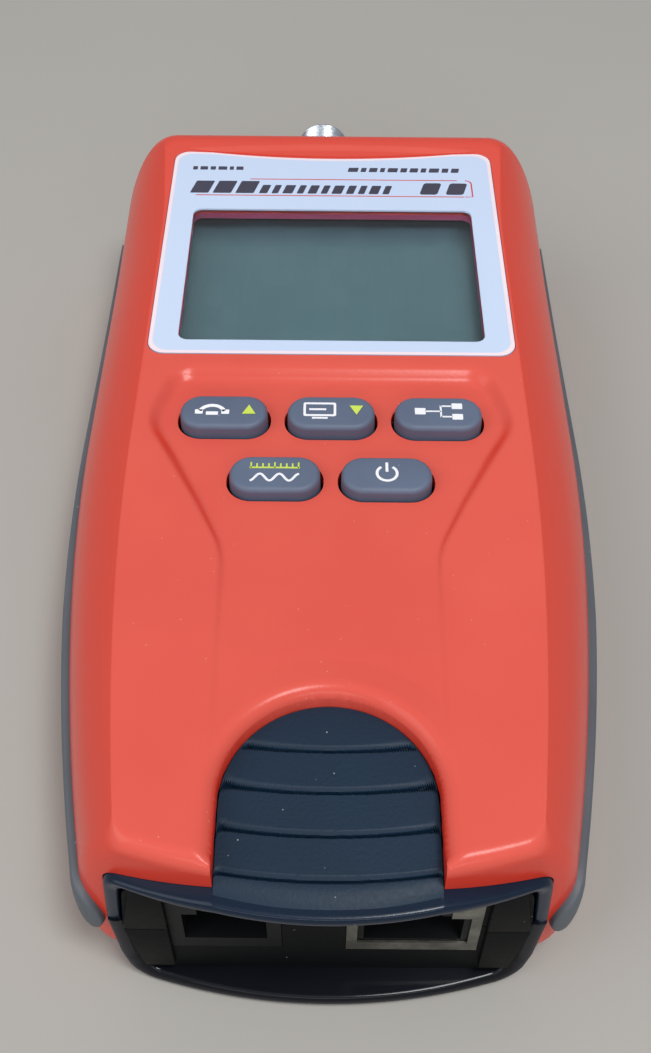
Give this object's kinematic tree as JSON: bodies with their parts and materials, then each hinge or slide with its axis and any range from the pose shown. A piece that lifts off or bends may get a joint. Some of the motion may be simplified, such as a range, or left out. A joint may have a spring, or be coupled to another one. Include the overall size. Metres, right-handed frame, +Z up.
{
  "type": "network cable tester",
  "caption": "Hand-held network cable tester: red two-part case with grey seam grips, display, obround keys, black socket shroud with thumb pad, threaded coaxial connector and rear battery door.",
  "frame": {"origin": "middle of the box that holds the tester, at its rear face", "axes": "+Z up out of the display, +Y from the sockets to the coaxial connector, +X to the right when facing the display"},
  "size_m": [0.0784, 0.1592, 0.036],
  "materials": {
    "shell_red": "satin moulded plastic with a fine spark texture",
    "shroud_black": "satin",
    "grip_grey": "matt soft-touch",
    "label_print": "printed polycarbonate film",
    "window_clear": "clear",
    "display_green": "grey-green display",
    "diffuser_white": "matt",
    "inner_black": "matt",
    "elastomer_pink": "matt",
    "keypad_mat": "matt",
    "key_slate": "matt silicone",
    "pill_carbon": "matt",
    "board_green": "solder mask",
    "chip_black": "matt",
    "chip_tan": "matt",
    "can_metal": "satin",
    "relay_body": "matt",
    "shield_metal": "tinned",
    "contact_gold": "gold plated",
    "nickel": "nickel plated",
    "insulator_white": "matt",
    "battery_jacket": "satin",
    "foam_grey": "open foam",
    "screw_steel": "black zinc"
  },
  "bodies": {
    "case": {"battery": "battery_jacket", "battery_contact_block": "inner_black", "battery_contact_springs": "nickel", "battery_terminals": "can_metal", "board_screws": "screw_steel", "case_screws": "screw_steel", "coax_centre_contact": "contact_gold", "coax_connector_body": "nickel", "coax_insulator": "insulator_white", "coax_nut": "nickel", "coax_washer": "nickel", "crystal": "can_metal", "data_socket_contacts": "contact_gold", "data_socket_insert": "inner_black", "data_socket_shield": "shield_metal", "display_backlight": "diffuser_white", "display_connector_strips": "elastomer_pink", "display_frame": "inner_black", "display_glass": "display_green", "display_window": "window_clear", "front_shell": "shell_red", "keypad_mat": "keypad_mat", "main_board": "board_green", "microcontroller": "chip_black", "overlay_label": "label_print", "phone_socket": "inner_black", "phone_socket_contacts": "contact_gold", "port_shroud_lower": "shroud_black", "port_shroud_upper": "shroud_black", "rear_shell": "shell_red", "relays": "relay_body", "side_grip_left": "grip_grey", "side_grip_right": "grip_grey", "small_components": "chip_tan", "sounder": "chip_black"},
    "battery_door": {"battery_door": "shell_red", "battery_foam_pad": "foam_grey"},
    "key_left_body": {"key_left": "key_slate", "key_left_pill": "pill_carbon"},
    "key_middle_body": {"key_middle": "key_slate", "key_middle_pill": "pill_carbon"},
    "key_right_body": {"key_right": "key_slate", "key_right_pill": "pill_carbon"},
    "key_lower_left_body": {"key_lower_left": "key_slate", "key_lower_left_pill": "pill_carbon"},
    "key_lower_right_body": {"key_lower_right": "key_slate", "key_lower_right_pill": "pill_carbon"}
  },
  "joints": [
    {"name": "key_left_press", "type": "slide", "parent": "case", "child": "key_left_body", "axis": [0, 0, -1], "range_m": [0, 0.001], "stiffness_N_per_m": 600},
    {"name": "key_middle_press", "type": "slide", "parent": "case", "child": "key_middle_body", "axis": [0, 0, -1], "range_m": [0, 0.001], "stiffness_N_per_m": 600},
    {"name": "key_right_press", "type": "slide", "parent": "case", "child": "key_right_body", "axis": [0, 0, -1], "range_m": [0, 0.001], "stiffness_N_per_m": 600},
    {"name": "key_lower_left_press", "type": "slide", "parent": "case", "child": "key_lower_left_body", "axis": [0, 0, -1], "range_m": [0, 0.001], "stiffness_N_per_m": 600},
    {"name": "key_lower_right_press", "type": "slide", "parent": "case", "child": "key_lower_right_body", "axis": [0, 0, -1], "range_m": [0, 0.001], "stiffness_N_per_m": 600},
    {"name": "battery_door_hinge", "type": "hinge", "parent": "case", "child": "battery_door", "pos_m": [0, 0.03125, 0.00125], "axis": [1, 0, 0], "range_deg": [0, 75]}
  ]
}
